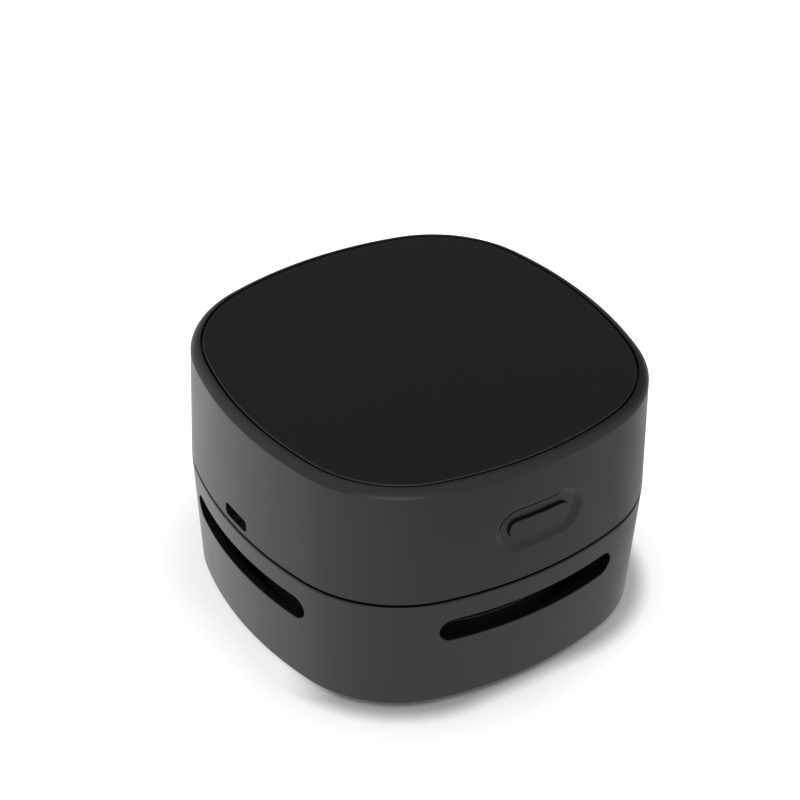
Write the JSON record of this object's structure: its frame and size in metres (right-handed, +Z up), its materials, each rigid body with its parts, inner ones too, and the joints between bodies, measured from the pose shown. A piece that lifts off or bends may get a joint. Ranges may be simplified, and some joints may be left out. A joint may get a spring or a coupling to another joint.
{
  "type": "desktop mini vacuum cleaner",
  "caption": "Rounded-square desktop vacuum cleaner: a motor unit with a flush top panel and side button plugs into a dust bin with exhaust slots and a brushed suction mouth.",
  "frame": {"origin": "under the middle of the base, on the surface that the feet stand on", "axes": "+Z up, power button facing -Y, charging port facing -X"},
  "size_m": [0.085, 0.085, 0.0543],
  "materials": {
    "shell_plastic": "satin black moulded shell",
    "panel_plastic": "smooth black panel",
    "inner_plastic": "matt black moulding",
    "cup_plastic": "smoke grey moulding",
    "fan_plastic": "natural white moulding",
    "rubber": "matt black rubber",
    "bristle": "black nylon bristle",
    "filter_cloth": "pale non-woven cloth",
    "steel": "plated steel",
    "brass": "bright brass",
    "magnet": "dark ferrite",
    "winding": "enamelled copper winding",
    "cell_sleeve": "blue shrink sleeve",
    "board": "green circuit board",
    "chip": "black moulded package",
    "lamp": "clear lens",
    "wire_red": "red insulation",
    "wire_black": "black insulation"
  },
  "bodies": {
    "dust_bin": {"lower_shell": "shell_plastic", "dust_cup": "cup_plastic", "cup_seal": "rubber", "filter_frame": "inner_plastic", "filter_cloth": "filter_cloth", "brush_ring": "inner_plastic", "bristles_right": "bristle", "bristles_back": "bristle", "bristles_left": "bristle", "bristles_front": "bristle", "brush_screw_1": "steel", "brush_screw_2": "steel", "brush_screw_3": "steel", "brush_screw_4": "steel", "rubber_foot_1": "rubber", "rubber_foot_2": "rubber", "rubber_foot_3": "rubber", "rubber_foot_4": "rubber"},
    "motor_unit": {"upper_shell": "shell_plastic", "top_panel": "panel_plastic", "inner_tray": "inner_plastic", "fan_housing": "inner_plastic", "tray_screw_1": "steel", "tray_screw_2": "steel", "tray_screw_3": "steel", "tray_screw_4": "steel", "motor_can": "steel", "motor_end_cap": "fan_plastic", "motor_bush_lower": "brass", "motor_bush_upper": "brass", "motor_magnet_1": "magnet", "motor_magnet_2": "magnet", "motor_terminal_1": "brass", "motor_terminal_2": "brass", "motor_screw_1": "steel", "motor_screw_2": "steel", "battery_cell": "cell_sleeve", "battery_holder": "inner_plastic", "charge_board": "board", "usb_socket": "steel", "charge_chip": "chip", "charge_lamp": "lamp", "board_screw_1": "steel", "board_screw_2": "steel", "switch_board": "board", "switch_body": "chip", "wire_cell_plus": "wire_red", "wire_cell_minus": "wire_black", "wire_motor_plus": "wire_red", "wire_motor_minus": "wire_black", "wire_switch": "wire_red"},
    "rotor": {"motor_shaft": "steel", "motor_armature": "winding", "motor_commutator": "brass", "impeller": "fan_plastic"},
    "button": {"power_button": "shell_plastic"},
    "plunger": {"switch_plunger": "fan_plastic"}
  },
  "joints": [
    {"name": "unit_lift", "type": "slide", "parent": "dust_bin", "child": "motor_unit", "axis": [0, 0, 1], "range_m": [0, 0.04]},
    {"name": "rotor_spin", "type": "hinge", "parent": "motor_unit", "child": "rotor", "pos_m": [0, 0, 0.0263], "axis": [0, 0, 1], "continuous": true},
    {"name": "button_press", "type": "slide", "parent": "motor_unit", "child": "button", "axis": [0, 1, 0], "range_m": [0, 0.001], "stiffness_N_per_m": 700, "springref_m": -0.001},
    {"name": "plunger_press", "type": "slide", "parent": "motor_unit", "child": "plunger", "axis": [0, 1, 0], "range_m": [0, 0.001]}
  ],
  "couplings": [
    {"joint": "plunger_press", "follows": "button_press", "ratio": 1}
  ]
}
